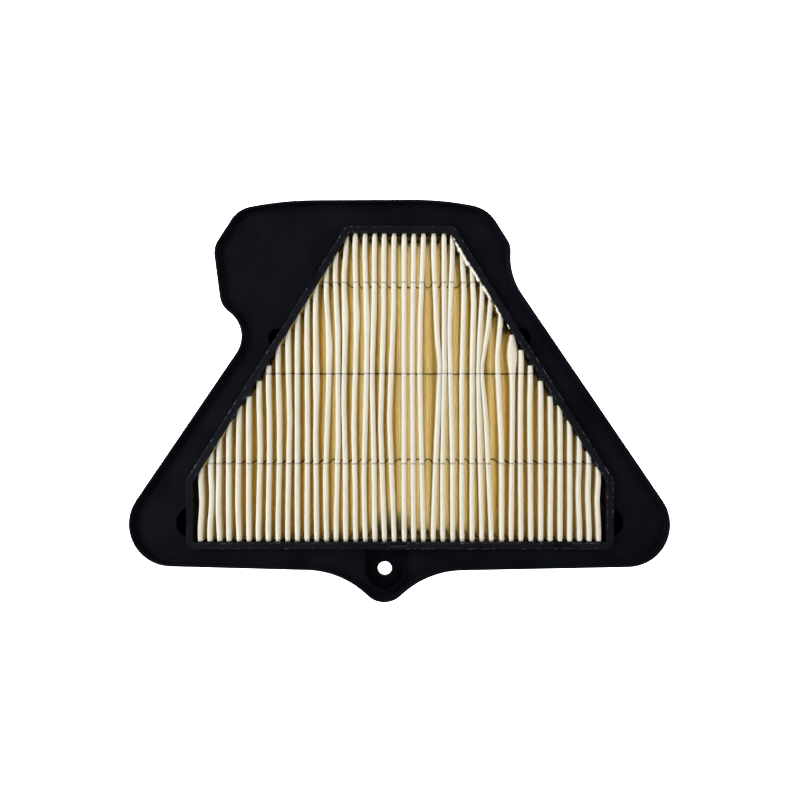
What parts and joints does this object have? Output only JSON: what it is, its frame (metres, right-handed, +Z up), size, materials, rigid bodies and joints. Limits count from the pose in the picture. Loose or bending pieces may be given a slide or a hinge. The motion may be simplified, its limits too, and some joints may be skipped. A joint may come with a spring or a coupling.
{
  "type": "air filter",
  "caption": "Panel air filter for a motorcycle air box: pleated paper in a six-sided rim on a flat flange with a raised edge, blind cups and a screw tongue.",
  "frame": {"origin": "middle of the overall length and width, at the underside of the filter well", "axes": "+X along the wide front edge, +Y towards the narrow rear end, +Z up through the folds, out of the side with the raised edge"},
  "size_m": [0.3501, 0.2606, 0.032],
  "materials": {
    "frame_plastic": "fine satin moulded black",
    "rim_plastic": "satin moulded black with light scuffs on its edges",
    "filter_paper": "matte cream filter paper with three thin grey printed lines",
    "seal_rubber": "fine-celled black foam rubber",
    "sealant": "dark amber glue film"
  },
  "bodies": {
    "root": {"flange_frame": "frame_plastic", "screw_pocket": "frame_plastic", "front_left_cup": "frame_plastic", "front_right_cup": "frame_plastic", "rear_left_cup": "frame_plastic", "rear_right_cup": "frame_plastic", "media_rim": "rim_plastic", "pleated_media": "filter_paper", "perimeter_seal": "seal_rubber", "front_sealant": "sealant", "rear_sealant": "sealant", "left_sealant": "sealant", "right_sealant": "sealant"}
  },
  "joints": []
}
